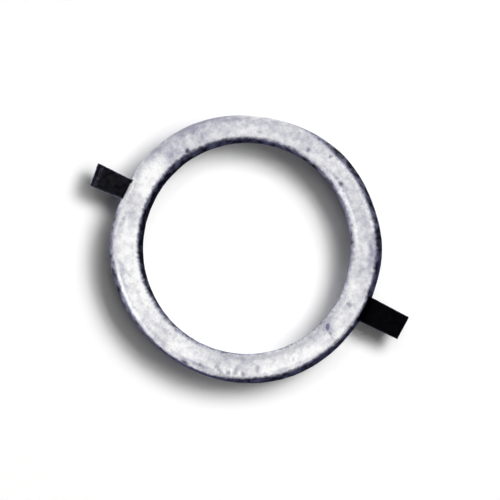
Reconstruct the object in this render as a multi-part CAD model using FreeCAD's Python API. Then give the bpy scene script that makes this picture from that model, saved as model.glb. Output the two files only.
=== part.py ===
import FreeCAD, Part
import math
import os

# Corona ring: a ring of round section, cast in one piece round the tails of two flat bar lugs
# that stick out of it opposite each other.
#
# Frame, in millimetres: the origin is the ring's centre at half its height, +Z is the ring's
# axis, and +X runs out along the middle of the long lug.

# ---- driving dimensions ----

ring_radius = 120.0          # ring centre to the middle of the round section
section_diameter = 30.0

lug_thickness = 6.0
lug_edge = 0.6               # the bevel worn onto the flat bar's edges
tail_length = 15.0           # how far a lug runs into the ring's metal, from the outermost point
tail_shoulder = 1.0          # the step down from bar to tail, on all four sides at the ring's skin
tail_hole_diameter = 6.0     # the ring's metal runs through it and locks the tail in

# Each lug: reach past the ring, width where it leaves the ring, width at the free end, sideways
# drift of the free end, and how much further its +Y corner reaches than its -Y one.
long_lug_reach = 40.5
long_lug_root_width = 26.5
long_lug_end_width = 25.0
long_lug_drift = 0.0
long_lug_skew = 0.6

# The short lug is drawn along +X like the long one, and then turned to face -X.
short_lug_reach = 34.7
short_lug_root_width = 21.6
short_lug_end_width = 24.0
short_lug_drift = 1.4
short_lug_skew = -3.0

score_inset = 4.6            # the line scored across the short lug, from its free end
score_width = 0.9
score_depth = 0.3

# ---- worked out from them ----

section_radius = section_diameter / 2
outer_radius = ring_radius + section_radius
overcut = 1.0                # how far a tool or a tail runs past the face it crosses

ORIGIN = FreeCAD.Vector(0, 0, 0)
UP = FreeCAD.Vector(0, 0, 1)


def round_section_ring():
    """The ring's outside form: its round section carried once round the axis."""
    section = Part.Face(Part.Wire(Part.makeCircle(
        section_radius, FreeCAD.Vector(ring_radius, 0, 0), FreeCAD.Vector(0, 1, 0))))
    return section.revolve(ORIGIN, UP, 360)


def flat_bar(reach, root_width, end_width, drift, skew):
    """The bare part of a lug along +X, coped to the ring's skin, its edges bevelled."""
    end_x = outer_radius + reach
    root_share = (ring_radius - outer_radius) / reach
    width = root_width + (end_width - root_width) * root_share
    middle = drift * root_share
    bottom = -lug_thickness / 2
    corners = [
        FreeCAD.Vector(ring_radius, middle - width / 2, bottom),
        FreeCAD.Vector(end_x - skew / 2, drift - end_width / 2, bottom),
        FreeCAD.Vector(end_x + skew / 2, drift + end_width / 2, bottom),
        FreeCAD.Vector(ring_radius, middle + width / 2, bottom),
    ]
    outline = Part.Face(Part.makePolygon(corners + corners[:1]))
    bar = outline.extrude(UP * lug_thickness)
    return bar.makeChamfer(lug_edge, bar.Edges).cut(round_section_ring())


def tail(root_width):
    """The part of a lug that the ring is cast round, run on a little way into the bare bar."""
    width = root_width - 2 * tail_shoulder
    thickness = lug_thickness - 2 * tail_shoulder
    block = Part.makeBox(tail_length + overcut, width, thickness,
                         FreeCAD.Vector(outer_radius - tail_length, -width / 2, -thickness / 2))
    hole = Part.makeCylinder(tail_hole_diameter / 2, lug_thickness,
                             FreeCAD.Vector(outer_radius - tail_length / 2, 0, -lug_thickness / 2))
    return block.cut(hole)


def score_line(reach, end_width, drift, skew):
    """The tool for the line scored across a lug's upper face, parallel to its free end."""
    length = end_width + 2 * overcut
    line = Part.makeBox(score_width, length, score_depth + overcut,
                        FreeCAD.Vector(-score_width / 2, -length / 2, -score_depth))
    line.rotate(ORIGIN, UP, -math.degrees(math.atan2(skew, end_width)))
    line.translate(FreeCAD.Vector(outer_radius + reach - score_inset, drift, lug_thickness / 2))
    return line


def make_long_lug():
    bar = flat_bar(long_lug_reach, long_lug_root_width, long_lug_end_width,
                   long_lug_drift, long_lug_skew)
    return bar.fuse(tail(long_lug_root_width))


def make_short_lug():
    bar = flat_bar(short_lug_reach, short_lug_root_width, short_lug_end_width,
                   short_lug_drift, short_lug_skew)
    scored = bar.cut(score_line(short_lug_reach, short_lug_end_width,
                                short_lug_drift, short_lug_skew))
    lug = scored.fuse(tail(short_lug_root_width))
    lug.rotate(ORIGIN, UP, 180)
    return lug


def make_ring(lugs):
    """The round ring with the room that the lugs' tails take, its metal filling their holes."""
    return round_section_ring().cut(lugs)


# ---- the pieces ----

long_lug = make_long_lug()
short_lug = make_short_lug()
ring = make_ring([long_lug, short_lug])

os.makedirs("parts", exist_ok=True)
for name, shape in (("ring", ring), ("long_lug", long_lug), ("short_lug", short_lug)):
    shape.exportStep("parts/" + name + ".step")
    print(name, "solids", len(shape.Solids), "valid", shape.isValid(),
          "volume", round(shape.Volume / 1000, 3), "cm3")
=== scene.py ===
import math

import bpy
import numpy as np
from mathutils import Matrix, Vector, noise


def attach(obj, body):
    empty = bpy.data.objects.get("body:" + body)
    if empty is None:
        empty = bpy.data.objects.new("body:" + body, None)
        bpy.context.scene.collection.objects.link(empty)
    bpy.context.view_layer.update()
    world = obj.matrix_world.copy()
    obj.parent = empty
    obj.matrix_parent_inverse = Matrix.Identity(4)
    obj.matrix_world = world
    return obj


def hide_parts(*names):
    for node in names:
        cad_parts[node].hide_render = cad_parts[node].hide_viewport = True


# Corona ring: a rough cast aluminium ring with two black flat bar lugs, lying on a pale floor and
# seen from straight above. Metres, in the CAD model's frame, unless a name or a comment says mm.
# Bearings are in degrees, turned from the view's right towards its top.

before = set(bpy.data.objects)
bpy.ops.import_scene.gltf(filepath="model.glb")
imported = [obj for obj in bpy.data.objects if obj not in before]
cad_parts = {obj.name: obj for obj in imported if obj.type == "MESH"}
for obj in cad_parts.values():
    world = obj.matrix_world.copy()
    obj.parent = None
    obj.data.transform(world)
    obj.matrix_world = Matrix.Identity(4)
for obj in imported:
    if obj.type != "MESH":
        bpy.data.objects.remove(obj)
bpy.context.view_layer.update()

RING_RADIUS = 0.120                 # ring centre to the middle of the round section
SECTION_RADIUS = 0.015
FLOOR_Z = -SECTION_RADIUS
VIEW_TURN = math.radians(26.7)      # the long lug points this far below the view's right


def in_view(right, up, z=0.0):
    """A place given along the view's right and up, turned into the model's frame."""
    c, s = math.cos(VIEW_TURN), math.sin(VIEW_TURN)
    return Vector((right * c - up * s, right * s + up * c, z))


# ---- camera ----

CAMERA_HEIGHT = 3.0
VIEW_WIDTH = 0.5                    # how much of the floor the view takes in
SENSOR_MM = 36.0

camera_data = bpy.data.cameras.new("view")
camera_data.sensor_width = SENSOR_MM
camera_data.lens = SENSOR_MM * CAMERA_HEIGHT / VIEW_WIDTH
camera = bpy.data.objects.new("view", camera_data)
camera.location = in_view(0.0037, -0.0007, CAMERA_HEIGHT)
camera.rotation_euler = (0.0, 0.0, VIEW_TURN)
bpy.context.scene.collection.objects.link(camera)
bpy.context.scene.camera = camera


# ---- the cast ring: what sets it apart from a true ring ----

# How far its outer edge stands off true round in mm: a mean, waves round the ring (amplitude, count,
# lag in degrees), and rises and hollows (bearing, reach in degrees, height). The mean and the waves were
# not chosen by hand: they are the output of a least-squares fit to the photo's edge, rounded afterwards.
OUTER_MEAN = -0.05
OUTER_WAVES = ((0.9, 1, 120), (1.1, 2, -40), (0.7, 3, 115), (0.6, 4, 70), (0.25, 5, -125), (0.2, 6, -40))
OUTER_RISES = ((-26.7, 8, 0.9), (154, 8, -2.0), (22, 14, -0.9), (165, 7, -0.6), (-1, 10, 0.9))
# How far its inner edge stands in from true round in mm, the same way.
INNER_MEAN = 0.6
INNER_WAVES = ((1.1, 1, 230), (0.8, 2, 0))

# Lumps all over its skin: height, size, octaves. The skin is sunk to keep them inside a true section.
LUMPS = ((0.00020, 0.022, 2), (0.00011, 0.0055, 3))
SUNK = 0.00026
# Notches across the corners where the bright face ends and the flank's painted shade begins: their size
# along the ring, and how deep they are, and how far they shift the end of the face as a sine, on the inner
# side and the outer side.
NOTCH_SIZE = 0.0024
NOTCH_DEPTH = (0.000060, 0.000036)
NOTCH_SHIFT = (0.055, 0.04)

# The pits, seams and patches follow the photo's own marks. They were typed from measurements of the
# photo at 1 mm to a pixel, so their distances in mm are also the distances in its pixels.

# Pits: bearing, distance from the ring's centre in mm, reach across the ring and along it in mm, and
# depth in mm.
PITS = [
    (31, 112.6, 1.2, 1.6, 0.15),
    (34.6, 114.6, 2.1, 2.5, 0.56),
    (38.2, 114.8, 1.7, 1.6, 0.28),
    (47.6, 125, 1.8, 2, 0.38),
    (57.8, 116.6, 2.4, 1.9, 0.36),
    (83.6, 117.2, 1.6, 2.4, 0.24),
    (111.5, 120.5, 2.8, 1.8, 0.24),
    (120.9, 113.8, 3, 2.4, 0.50),
    (225, 115, 1.8, 2.2, 0.13),
    (241.5, 130.2, 1.6, 3.6, 0.50),
    (248.2, 124.9, 2.2, 2.2, 0.24),
    (249.6, 127, 2, 2.4, 0.12),
    (256.1, 120.6, 2.6, 2.2, 0.27),
    (257.3, 123.4, 2.2, 2, 0.24),
    (258.3, 125.4, 1.6, 1.8, 0.20),
    (261.8, 124.6, 2.2, 2.2, 0.24),
    (265, 122, 4.4, 1.8, 0.22),
    (268.5, 124.6, 2.8, 2, 0.25),
    (275.2, 119.4, 4.6, 2.4, 0.24),
    (293.3, 119, 1.4, 1.4, 0.20),
    (314.9, 119, 2.6, 1.6, 0.28),
    (315.9, 113.2, 2.6, 2.8, 0.55),
    (316.5, 111.8, 2.4, 3, 0.60),
    (317.3, 110.6, 2.2, 2.6, 0.45),
    (331.6, 116.2, 2.8, 2.2, 0.34),
    (340.5, 125, 1.6, 2.2, 0.10),
    (354.5, 108.2, 1.4, 2.4, 0.20),
]
# Cold shuts, crack-like lines where two streams of metal met: bearing and distance from the ring's
# centre in mm of their ends and bends, and their depth there in mm.
SEAMS = [
    [(317.4, 109.6, 0.2), (316.4, 111.4, 0.6), (315.8, 113.6, 0.4), (315.3, 115.8, 0.25),
     (315.0, 118.4, 0.45), (314.7, 120.8, 0.3), (314.2, 123.0, 0.1)],
    [(184.5, 127.5, 0.14), (187.5, 124.0, 0.16), (190.5, 121.0, 0.14), (194.0, 118.5, 0.05)],
]
SEAM_REACH_MM = 0.9
# Pits and cold shuts are darkened by their depth: painted shade in the hollows.
DEEP_MM = 0.45                      # a mark this deep is as dark as marks get

# Patches of the face that are brighter or greyer: some are the casting's own uneven tone, others are
# painted shade along the ring's edges and painted highlights near the lugs, along the edges and between
# the pits. Bearing, distance from the ring's centre in mm, reach along the ring in degrees and across it
# in mm, and how much brighter.
TONE_AND_LIGHT_PATCHES = [
    (10, 128.5, 4, 2, 0.20),
    (3, 105.5, 10, 3, -0.24),
    (10, 109, 12, 3, 0.22),
    (12, 121, 14, 5, -0.05),
    (22, 134.5, 30, 3.5, -0.34),
    (27, 118, 13, 8, -0.12),
    (30.5, 113.5, 5, 3, -0.30),
    (31, 128, 4, 2, 0.15),
    (40, 111.5, 6, 4.5, -0.35),
    (44, 133.5, 9, 5, -0.40),
    (48, 105.5, 16, 3, -0.30),
    (50, 129, 4, 3, -0.20),
    (62, 128, 9, 4, -0.15),
    (70, 123, 8, 6, -0.15),
    (88, 128, 12, 5, -0.25),
    (92, 106, 12, 3, -0.40),
    (110, 134.8, 15, 2.5, -0.35),
    (115, 120, 16.5, 10, -0.22),
    (117, 132.5, 26, 5.5, -0.42),
    (120, 121, 4, 7, 0.14),
    (124, 119, 8, 9, -0.12),
    (130, 124, 5, 7, -0.15),
    (131, 114, 4, 5, -0.25),
    (141.3, 120, 9, 8, 0.38),
    (150, 115, 3, 4.5, 0.30),
    (150, 131.5, 4, 2.5, 0.40),
    (155, 131.5, 4, 2, 0.45),
    (158.5, 133.4, 3.5, 1.4, 0.60),
    (160, 123, 8, 9, -0.09),
    (165, 105.5, 48, 3.5, -1.00),
    (166, 133, 5, 2, -0.25),
    (170, 126, 6, 2.6, -0.40),
    (173, 133, 15, 3, -0.35),
    (178, 122.5, 13, 5, 0.22),
    (184, 114, 16, 6, 0.32),
    (190, 111, 26, 2, 0.15),
    (190, 125, 6, 1.8, -0.28),
    (196, 133.5, 13, 3, -0.30),
    (196, 129, 6, 1.6, 0.30),
    (198, 121, 12, 4, 0.22),
    (209, 112, 10, 5, 0.16),
    (220, 116, 7, 7, 0.20),
    (220, 122, 5, 3, 0.12),
    (225, 127, 6, 4, -0.11),
    (232, 110, 12, 2.5, 0.22),
    (238, 119, 9, 6, 0.25),
    (238, 133.5, 25, 3.5, 0.25),
    (243, 126.5, 9, 3, -0.25),
    (250, 125.5, 6, 2.5, -0.28),
    (255, 114, 10, 4, -0.15),
    (259.8, 123, 0.9, 4, 0.20),
    (260, 122.5, 5, 4, 0.18),
    (263.3, 123.5, 0.7, 5, 0.35),
    (267, 123, 0.7, 5, 0.20),
    (268, 122.5, 7, 5, -0.10),
    (270, 110.5, 5, 3, -0.15),
    (271.5, 123, 1.2, 5, 0.15),
    (288, 126.5, 20, 3.5, -0.16),
    (290, 125.5, 7, 2, -0.28),
    (293, 121.5, 20, 8, 0.34),
    (295, 107.5, 42, 5, -0.12),
    (296, 132.5, 32, 3.5, -0.16),
    (303, 121, 6, 5, 0.10),
    (307, 114, 8, 5, -0.14),
    (318, 110.5, 5, 3, -0.08),
    (320, 126, 4, 4, 0.20),
    (322, 118, 5, 3, 0.22),
    (338, 114, 5, 8, 0.22),
    (349, 114, 4, 4, -0.20),
    (358, 132.5, 8, 2.5, 0.22),
    (359, 127, 9, 6, -0.50),
]
# Black on the ring where it meets the lugs: bearing, half its width in degrees, and the distance from the
# ring's centre in mm where it begins.
ROOT_BLACKS = [(-26.7, 5.9, 130.8), (153.2, 4.7, 133.4), (149.4, 1.0, 132.2)]

# How far down the section the bright face runs, as the sine of its slope, by the way the slope faces:
# on the ring's outer side and on its inner side. Below it the flank is painted shade. The face runs further
# down on slopes turned towards the key light, so where the painted shade begins follows how light falls.
OUTER_LIT_FACE = ((0, 20, 45, 62, 75, 135, 155, 180, 195, 210, 225, 255, 272, 300, 320, 345),
              (0.60, 0.60, 0.56, 0.86, 1.05, 1.05, 0.88, 0.80, 0.67, 0.71, 0.76, 0.75, 0.59, 0.59,
               0.67, 0.58))
INNER_LIT_FACE = ((0, 30, 60, 90, 130, 180, 230, 250, 270, 310),
              (0.66, 0.78, 0.84, 0.92, 0.93, 0.84, 0.78, 0.67, 0.64, 0.55))


def fractal(place, size, octaves, seed):
    """Layered noise about -1 to 1, its largest lumps about that size in the place's own unit."""
    p = Vector(place) / size + Vector((seed * 7.31, seed * 3.17, seed * 5.53))
    return noise.fractal(p, 0.9, 2.0, octaves)


def turn_from(bearing, bearings):
    """How far other bearings lie from one, -180 to 180."""
    return (bearings - bearing + 180) % 360 - 180


def flat_places(bearings, radii):
    """Places at those bearings and distances from the ring's centre, along the view's right and up."""
    b = np.radians(bearings)
    return np.stack([radii * np.cos(b), radii * np.sin(b)], -1)


def waves(bearings, mean, parts):
    """A mean and waves round the ring, each an amplitude, a count of waves and a lag in degrees."""
    return mean + sum(a * np.cos(np.radians(k * bearings - lag)) for a, k, lag in parts)


def outer_swell(bearings):
    """How far the casting's outer edge stands off true round, in metres."""
    swell = waves(bearings, OUTER_MEAN, OUTER_WAVES)
    for place, reach, height in OUTER_RISES:
        swell += height * np.exp(-(turn_from(place, bearings) / reach) ** 2)
    return swell / 1000


def inner_swell(bearings):
    """How far the casting's inner edge stands in from true round, in metres."""
    return waves(bearings, INNER_MEAN, INNER_WAVES) / 1000


def wander(bearings, radii, size, seed):
    """Noise about -1 to 1 over the ring, in lumps of that size in mm."""
    places = flat_places(bearings, radii).reshape(-1, 2)
    return np.array([fractal((x, y, 0), size, 2, seed) for x, y in places]).reshape(radii.shape)


def swayed(bearings, radii, size, degrees, mm, seed):
    """Places moved about, by lumps of that size in mm, so that what is drawn there has uneven outlines."""
    bearings = bearings + degrees * wander(bearings, radii, size, seed)
    radii = radii + mm * wander(bearings, radii, size, seed + 1)
    return bearings, radii


def to_segment(p, a, b):
    """How far p is from the line a-b, and how far along it, 0 to 1."""
    along = b - a
    t = np.clip(((p - a) @ along) / (along @ along), 0, 1)
    return np.linalg.norm(p - (a + t[..., None] * along), axis=-1), t


def mark_depths(bearings, radii):
    """Depth in mm of the pits and the seams at each place."""
    bearings, radii = swayed(bearings, radii, size=3, degrees=0.35, mm=0.7, seed=5)
    depth = np.zeros(radii.shape)
    for bearing, radius, across, along, deep in PITS:
        u = (radii - radius) / across
        v = np.radians(turn_from(bearing, bearings)) * radius / along
        depth = np.maximum(depth, deep * np.exp(-(u * u + v * v) ** 1.3))
    places = flat_places(bearings, radii)
    for seam in SEAMS:
        for (a0, r0, d0), (a1, r1, d1) in zip(seam, seam[1:]):
            away, t = to_segment(places, flat_places(a0, r0), flat_places(a1, r1))
            depth = np.maximum(depth, (d0 + (d1 - d0) * t) * np.exp(-(away / SEAM_REACH_MM) ** 2))
    return depth


def patch_tone_and_light(bearings, radii):
    """How much brighter or greyer the face is at each place, from its own tone and from painted shade and
    highlights.
    """
    bearings, radii = swayed(bearings, radii, size=8, degrees=0.8, mm=1.6, seed=3)
    tone_and_light = np.zeros(radii.shape)
    for bearing, radius, along, across, brighter in TONE_AND_LIGHT_PATCHES:
        d = (turn_from(bearing, bearings) / along) ** 2 + ((radii - radius) / across) ** 2
        tone_and_light += brighter * np.exp(-d ** 2.5)
    return tone_and_light


def root_black_shares(bearings, radii):
    """Where the ring is black at the lugs' roots, 0 to 1, with edges 0.3 degrees and 1.2 mm soft."""
    share = np.zeros(radii.shape)
    for bearing, half_width, start in ROOT_BLACKS:
        beside = np.clip((half_width - np.abs(turn_from(bearing, bearings))) / 0.3 + 0.5, 0, 1)
        share = np.maximum(share, beside * np.clip((radii - start) / 1.2 + 0.5, 0, 1))
    return share


def lit_face_reach(facings, inner):
    """How far down the section the bright face runs before the flank's painted shade, as the sine of its
    slope, by the way it faces.
    """
    return np.where(inner, np.interp(facings, *INNER_LIT_FACE, period=360),
                    np.interp(facings, *OUTER_LIT_FACE, period=360))


def lump_height(place):
    return sum(height * fractal(place, size, octaves, seed)
               for seed, (height, size, octaves) in enumerate(LUMPS, 1)) - SUNK


def notch_noise(angle, turn):
    """Notches about -1 to 1, close together along the ring and drawn out round its section."""
    place = Vector((math.cos(angle), math.sin(angle), 0)) * (RING_RADIUS / NOTCH_SIZE)
    place.z = 0.9 * math.sin(turn) + 2.0 * math.cos(turn)
    return 1.6 * noise.noise(place)


# ---- the cast ring: its mesh ----

AROUND, ACROSS = 900, 96            # faces round the ring, and round its section


def grid_mesh(name, verts):
    """A closed mesh from rows of places round the ring, each row once round the section."""
    index = np.arange(AROUND * ACROSS).reshape(AROUND, ACROSS)
    ahead = np.roll(index, -1, 0)
    faces = np.stack([index, ahead, np.roll(ahead, -1, 1), np.roll(index, -1, 1)], -1).reshape(-1, 4)
    mesh = bpy.data.meshes.new(name)
    mesh.from_pydata(verts.reshape(-1, 3).tolist(), [], faces.tolist())
    mesh.polygons.foreach_set("use_smooth", [True] * len(mesh.polygons))
    mesh.update()
    return mesh


def build_ring():
    """The casting. Every array below has a row for each place round the ring, and a column for each
    place round its section."""
    angles = 2 * np.pi * np.arange(AROUND) / AROUND
    turns = 2 * np.pi * np.arange(ACROSS) / ACROSS
    angle, turn = np.meshgrid(angles, turns, indexing="ij")
    out, up = np.cos(turn), np.sin(turn)
    inner, upper = out < 0, up > 0
    bearings = np.degrees(angle) - math.degrees(VIEW_TURN)
    true_r = RING_RADIUS + SECTION_RADIUS * out

    places = np.stack([true_r * np.cos(angle), true_r * np.sin(angle), SECTION_RADIUS * up], -1)
    lump = np.array([lump_height(p) for p in places.reshape(-1, 3)]).reshape(out.shape)
    notch = np.array([[notch_noise(a, t) for t in turns] for a in angles])
    corner = np.clip((np.abs(out) - 0.5) / 0.2, 0, 1) * np.clip((1.0 - np.abs(out)) / 0.1, 0, 1)
    depth = mark_depths(bearings, 1000 * true_r) * upper

    section = SECTION_RADIUS + lump + corner * np.where(inner, *NOTCH_DEPTH) * notch - depth / 1000
    r = RING_RADIUS + section * out
    r += outer_swell(bearings) * np.maximum(out, 0) + inner_swell(bearings) * np.minimum(out, 0)
    mesh = grid_mesh("cast_ring", np.stack([r * np.cos(angle), r * np.sin(angle), section * up], -1))

    # Painted shade on the flank below the bright face, beginning lower on slopes turned towards the key
    # light.
    reach = lit_face_reach(bearings + np.where(inner, 180, 0), inner) + np.where(inner, *NOTCH_SHIFT) * notch
    for name, value in (("shade_flank", np.abs(out) - reach),
                        ("slope", np.abs(out)),
                        ("pit_shade", np.clip(depth / DEEP_MM, 0, 1)),
                        ("root_black", root_black_shares(bearings, 1000 * true_r) * upper),
                        ("tone_and_light", patch_tone_and_light(bearings, 1000 * true_r))):
        mesh.attributes.new(name, "FLOAT", "POINT").data.foreach_set(
            "value", value.astype(np.float32).ravel())
    piece = bpy.data.objects.new("cast_ring", mesh)
    bpy.context.scene.collection.objects.link(piece)
    return piece


ring = build_ring()
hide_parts("ring")
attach(ring, "root")


# ---- materials ----

FACE_GREY, FACE_BRIGHT = (0.36, 0.36, 0.45, 1), (1.0, 1.0, 1.0, 1)
# The flank's colours, dark and dull: painted shade below the bright face.
SHADE_FLANK_DARK, SHADE_FLANK_PALE = (0.028, 0.028, 0.038, 1), (0.32, 0.32, 0.42, 1)
# Painted shade in the pits and cold shuts.
PIT_SHADE_COLOUR = (0.10, 0.10, 0.15, 1)
ROOT_BLACK_COLOUR = (0.002, 0.002, 0.003, 1)


class Nodes:
    """Short ways to add shader nodes to one tree. A value may be a number, a colour or a socket."""

    def __init__(self, tree):
        self.tree = tree

    def put(self, socket, value):
        if isinstance(value, bpy.types.NodeSocket):
            self.tree.links.new(value, socket)
        else:
            socket.default_value = value

    def add(self, kind, inputs=(), **settings):
        node = self.tree.nodes.new(kind)
        for key, value in settings.items():
            setattr(node, key, value)
        for key, value in dict(inputs).items():
            self.put(node.inputs[key], value)
        return node

    def math(self, operation, a, b=0.0, clamp=False):
        return self.add("ShaderNodeMath", {0: a, 1: b}, operation=operation, use_clamp=clamp).outputs[0]

    def plus(self, a, b, times=1.0, clamp=False):
        """a + b * times"""
        return self.math("ADD", a, b if times == 1.0 else self.math("MULTIPLY", b, times), clamp)

    def attribute(self, name):
        return self.add("ShaderNodeAttribute", attribute_name=name).outputs["Fac"]

    def object_place(self):
        return self.add("ShaderNodeTexCoord").outputs["Object"]

    def noise(self, size, detail=2.0):
        """Noise about 0 to 1 in lumps of that size in metres."""
        return self.add("ShaderNodeTexNoise", {"Vector": self.object_place(), "Scale": 1.0 / size,
                                               "Detail": detail, "Roughness": 0.55}).outputs["Fac"]

    def remap(self, value, low, high, to_low=0.0, to_high=1.0, smooth=False):
        kind = "SMOOTHSTEP" if smooth else "LINEAR"
        return self.add("ShaderNodeMapRange", {0: value, 1: low, 2: high, 3: to_low, 4: to_high},
                        interpolation_type=kind).outputs[0]

    def mix(self, share, a, b):
        node = self.add("ShaderNodeMix", {"Factor": share, "A": a, "B": b}, data_type="RGBA")
        return node.outputs["Result"]

    def axes(self, vector):
        return self.add("ShaderNodeSeparateXYZ", {0: vector}).outputs

    def bump(self, height):
        return self.add("ShaderNodeBump", {"Height": height, "Distance": 1.0}).outputs[0]


def new_material(name):
    material = bpy.data.materials.new(name)
    material.use_nodes = True
    material.node_tree.nodes.clear()
    nodes = Nodes(material.node_tree)
    out = nodes.add("ShaderNodeOutputMaterial")
    return material, nodes, out


def cast_material():
    """Bright rough casting on top and below, painted shade on its dull flanks and in its pits, grain, and
    patches of tone and of painted light.
    """
    material, n, out = new_material("cast_aluminium")
    ragged = n.math("SUBTRACT", n.noise(0.0040), 0.5)
    # Painted shade on the flanks, with a ragged edge.
    shade_flank = n.remap(n.plus(n.attribute("shade_flank"), ragged, 0.20), -0.13, 0.13, smooth=True)
    # Painted shade in the pits and cold shuts, darker the deeper they are.
    pit_shade = n.attribute("pit_shade")
    root_black = n.attribute("root_black")

    broad = n.remap(n.noise(0.030), 0.35, 0.65, -1, 1)
    blotch = n.remap(n.noise(0.0065), 0.3, 0.7, -1, 1)
    grain = n.remap(n.noise(0.0018), 0.3, 0.7, -1, 1)
    # The face's own tone, with the patches' painted shade and highlights added.
    tone_and_light = n.plus(n.plus(0.61, broad, 0.14), n.attribute("tone_and_light"))
    tone_and_light = n.plus(n.plus(tone_and_light, blotch, 0.22), grain, 0.06, clamp=True)
    clean = n.plus(tone_and_light, blotch, 0.30, clamp=True)
    colour = n.mix(shade_flank, n.mix(tone_and_light, FACE_GREY, FACE_BRIGHT), n.mix(clean, SHADE_FLANK_DARK, SHADE_FLANK_PALE))
    colour = n.mix(n.math("MULTIPLY", pit_shade, 0.95), colour, PIT_SHADE_COLOUR)
    colour = n.mix(root_black, colour, ROOT_BLACK_COLOUR)
    # The metal is dull under the flanks' and the pits' painted shade and under the black at the lugs' roots.
    dull = n.math("MAXIMUM", n.math("MAXIMUM", shade_flank, pit_shade), root_black)

    height = n.plus(n.math("MULTIPLY", n.noise(0.0040, 3.0), 0.00010), n.noise(0.0013), 0.00002)
    shader = n.add("ShaderNodeBsdfPrincipled", {
        "Base Color": colour, "Metallic": n.remap(dull, 0, 1, 1.0, 0.0), "Specular IOR Level": 0.0,
        "Roughness": n.plus(n.remap(n.attribute("slope"), 0.5, 0.8, 0.24, 0.5), blotch, 0.04),
        "Normal": n.bump(height)})
    n.put(out.inputs[0], shader.outputs[0])
    return material


def paint_material(name, dark, light, bare, score_x=None):
    """Old black paint on flat bar, from dark to light in blotches, worn on its edges, with a painted
    highlight along the score.
    """
    material, n, out = new_material(name)
    blotch = n.remap(n.noise(0.004, 3.0), 0.35, 0.65)
    colour = n.mix(blotch, (dark, dark, dark * 1.2, 1), (light, light, light * 1.3, 1))
    tilt = n.axes(n.add("ShaderNodeNewGeometry").outputs["Normal"])["Z"]
    edge = n.remap(n.math("ABSOLUTE", tilt), 0.95, 0.8)
    scuff = n.remap(n.noise(0.0025), 0.40, 0.62, 0.15, 1.0)
    worn = n.math("MULTIPLY", edge, scuff)
    if score_x is not None:
        # A painted highlight along the score, in the colour of bare metal.
        place = n.axes(n.object_place())
        across = n.math("SUBTRACT", n.plus(place["X"], place["Y"], 0.06), score_x)
        score_highlight = n.remap(n.math("ABSOLUTE", across), 0.0023, 0.0006, 0.0, 0.10, smooth=True)
        worn = n.math("MAXIMUM", worn, n.math("MULTIPLY", score_highlight, scuff))
    colour = n.mix(worn, colour, (bare, bare, bare * 1.4, 1))
    shader = n.add("ShaderNodeBsdfPrincipled", {
        "Base Color": colour, "Roughness": n.remap(blotch, 0, 1, 0.5, 0.7), "Specular IOR Level": 0.01,
        "Normal": n.bump(n.math("MULTIPLY", n.noise(0.0015), 0.00004))})
    n.put(out.inputs[0], shader.outputs[0])
    return material


def dress(piece, material):
    piece.data.materials.clear()
    piece.data.materials.append(material)


long_lug, short_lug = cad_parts["long_lug"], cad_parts["short_lug"]
dress(ring, cast_material())
# Both lugs have the same black paint. The long lug's copy and its bare edges are darker: painted shade.
dress(long_lug, paint_material("long_lug_paint_shaded", 0.0008, 0.0030, 0.10))
dress(short_lug, paint_material("short_lug_paint", 0.0020, 0.0090, 0.30, -0.1645))


# ---- floor ----

FLOOR_HALF = 15.0
FLOOR_COLOUR = (1.0, 1.0, 1.0, 1)
FLOOR_BOUNCE = (0.04, 0.04, 0.09, 1)       # the floor to rays that only carry its light on


def seen(n):
    """1 for rays that show a thing, straight on, in a gloss or through glass, 0 for rays that only light."""
    path = n.add("ShaderNodeLightPath").outputs
    return n.math("MAXIMUM", n.math("MAXIMUM", path["Is Camera Ray"], path["Is Glossy Ray"]),
                  path["Is Transmission Ray"])


def build_floor():
    corners = [(x * FLOOR_HALF, y * FLOOR_HALF, FLOOR_Z) for x, y in ((-1, -1), (1, -1), (1, 1), (-1, 1))]
    mesh = bpy.data.meshes.new("floor")
    mesh.from_pydata(corners, [], [(0, 1, 2, 3)])
    piece = bpy.data.objects.new("floor", mesh)
    bpy.context.scene.collection.objects.link(piece)
    material, n, out = new_material("floor")
    colour = n.mix(seen(n), FLOOR_BOUNCE, FLOOR_COLOUR)
    n.put(out.inputs[0], n.add("ShaderNodeBsdfDiffuse", {"Color": colour}).outputs[0])
    dress(piece, material)
    return piece


# ---- light: the object and the floor have lamps of their own, and share a faint even sky ----

# The key's bearing and height, and the bearing and lean of the sky's wide cap, are rounded from a fit to
# the photo's shading. The cap's fade and the face's roughness began from it too, and were then changed.
# The other lamps of the object were set one by one.

AMBIENT = 0.036                     # the sky's light
LAMP_DISTANCE = 1.5
PANEL_HEIGHT = 20.0
PANEL_SAMPLES = 400

# The floor's panels: place and half size, as ceiling_panel takes them, level, and how blue they are.
# They hang off towards the view's right, so that the shadow falls to its lower left. They began as the
# output of a least-squares fit to the photo's shadow, and were then changed.
FLOOR_PANELS = (("shade", (1.50, 0.05), (0.41, 0.58), 0.442, 1.0),
                ("soft_shade", (1.07, 0.05), (0.28, 0.90), 0.390, 1.0),
                ("left_shade", (0.58, 0.85), (0.78, 0.14), 0.088, 0.97),
                ("right_shade", (0.58, -0.75), (0.78, 0.14), 0.088, 0.97))
PANEL_BEARING = 30.0                # the way that the panels' places are measured in


def new_lamp(name, size, power, lit):
    """An elliptical lamp that lights only the pieces it is given, and that no gloss shows."""
    data = bpy.data.lights.new(name, "AREA")
    data.shape = "ELLIPSE"
    data.size, data.size_y = size
    data.energy = power
    lamp = bpy.data.objects.new(name, data)
    bpy.context.scene.collection.objects.link(lamp)
    group = bpy.data.collections.new(name + "_lights")
    for piece in lit:
        group.objects.link(piece)
    lamp.light_linking.receiver_collection = group
    lamp.visible_glossy = False
    return lamp


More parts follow.
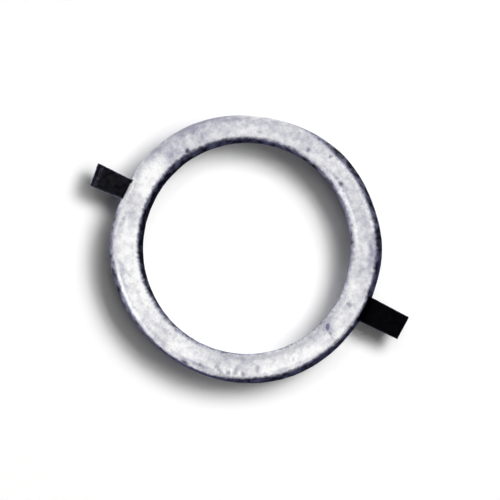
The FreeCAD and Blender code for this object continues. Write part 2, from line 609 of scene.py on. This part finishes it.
def side_lamp(name, bearing, height, size, power, lit):
    """A soft lamp of that width and height, at that bearing and at that angle above the floor."""
    lamp = new_lamp(name, size, power, lit)
    b, h = math.radians(bearing), math.radians(height)
    lamp.location = in_view(math.cos(b) * math.cos(h), math.sin(b) * math.cos(h), math.sin(h)) * LAMP_DISTANCE
    lamp.rotation_euler = (-lamp.location).to_track_quat("-Z", "Y").to_euler()
    return lamp


def panel_share(place, reach):
    """How much of a level panel's light arrives straight below the ring's centre, against one overhead."""
    arrives = 0.0
    for k in range(PANEL_SAMPLES):
        r, t = math.sqrt((k + 0.5) / PANEL_SAMPLES), k * math.pi * (3 - math.sqrt(5))
        along = place[0] + reach[0] * r * math.cos(t)
        across = place[1] + reach[1] * r * math.sin(t)
        arrives += 1 / (1 + along * along + across * across) ** 2 / PANEL_SAMPLES
    return arrives


def ceiling_panel(name, place, reach, level, lit):
    """A level panel of light that brings a white floor to that level. Its place and half its size are
    given along PANEL_BEARING and across it, in heights of the panel above the floor."""
    b = math.radians(PANEL_BEARING)
    ahead, aside = in_view(math.cos(b), math.sin(b)), in_view(-math.sin(b), math.cos(b))
    power = level * math.pi ** 2 * PANEL_HEIGHT ** 2 / panel_share(place, reach)
    lamp = new_lamp(name, (2 * reach[0] * PANEL_HEIGHT, 2 * reach[1] * PANEL_HEIGHT), power, lit)
    lamp.location = (ahead * place[0] + aside * place[1]) * PANEL_HEIGHT
    lamp.location.z = FLOOR_Z + PANEL_HEIGHT
    lamp.rotation_euler = (0, 0, b + VIEW_TURN)
    return lamp


def sky_cap(n, direction, bearing, lean, start, end, level):
    """A bright part of the sky round a middle that leans from straight up towards a bearing. It fades
    out from start to end degrees away from there."""
    b, t = math.radians(bearing), math.radians(lean)
    middle = in_view(math.cos(b) * math.sin(t), math.sin(b) * math.sin(t), math.cos(t))
    along = n.add("ShaderNodeVectorMath", {0: direction, 1: middle}, operation="DOT_PRODUCT")
    return n.remap(along.outputs["Value"], math.cos(math.radians(end)), math.cos(math.radians(start)),
                   0.0, level, smooth=True)


def build_world():
    """A sky that lights everything faintly and evenly. Where the metal mirrors it, it is bright at the
    view's upper left and overhead, dark at its lower right, with one small bright spot low at its left."""
    world = bpy.data.worlds.new("studio")
    bpy.context.scene.world = world
    world.use_nodes = True
    n = Nodes(world.node_tree)
    background = world.node_tree.nodes["Background"]
    direction = n.add("ShaderNodeTexCoord").outputs["Generated"]
    shown = n.plus(sky_cap(n, direction, 113, 50, 102, 144, 1.0),
                   sky_cap(n, direction, 207, 74, 4, 20, 0.6))
    level = n.add("ShaderNodeMix", {"Factor": seen(n), "A": AMBIENT, "B": shown}, data_type="FLOAT")
    n.put(background.inputs["Strength"], level.outputs["Result"])
    n.put(background.inputs["Color"], (1, 1, 1, 1))


floor = build_floor()
things = [ring, long_lug, short_lug]
side_lamp("key", 125, 38, (0.8, 0.8), 38, things)
for lamp in (side_lamp("right_fill", 15, 22, (2.2, 0.8), 3.0, things),
             side_lamp("near_fill", 225, 22, (2.2, 0.8), 4.0, things)):
    lamp.data.color = (0.85, 0.85, 1.3)
cool_fill = ceiling_panel("cool_fill", (0.0, 0.0), (3.0, 3.0), 0.027, things)
cool_fill.data.color = (0.0, 0.0, 1.0)
for name, place, reach, level, blue in FLOOR_PANELS:
    panel = ceiling_panel(name, place, reach, level, [floor])
    panel.data.color = (1.0, 1.0, blue)
build_world()

bpy.context.scene.view_settings.view_transform = "Standard"
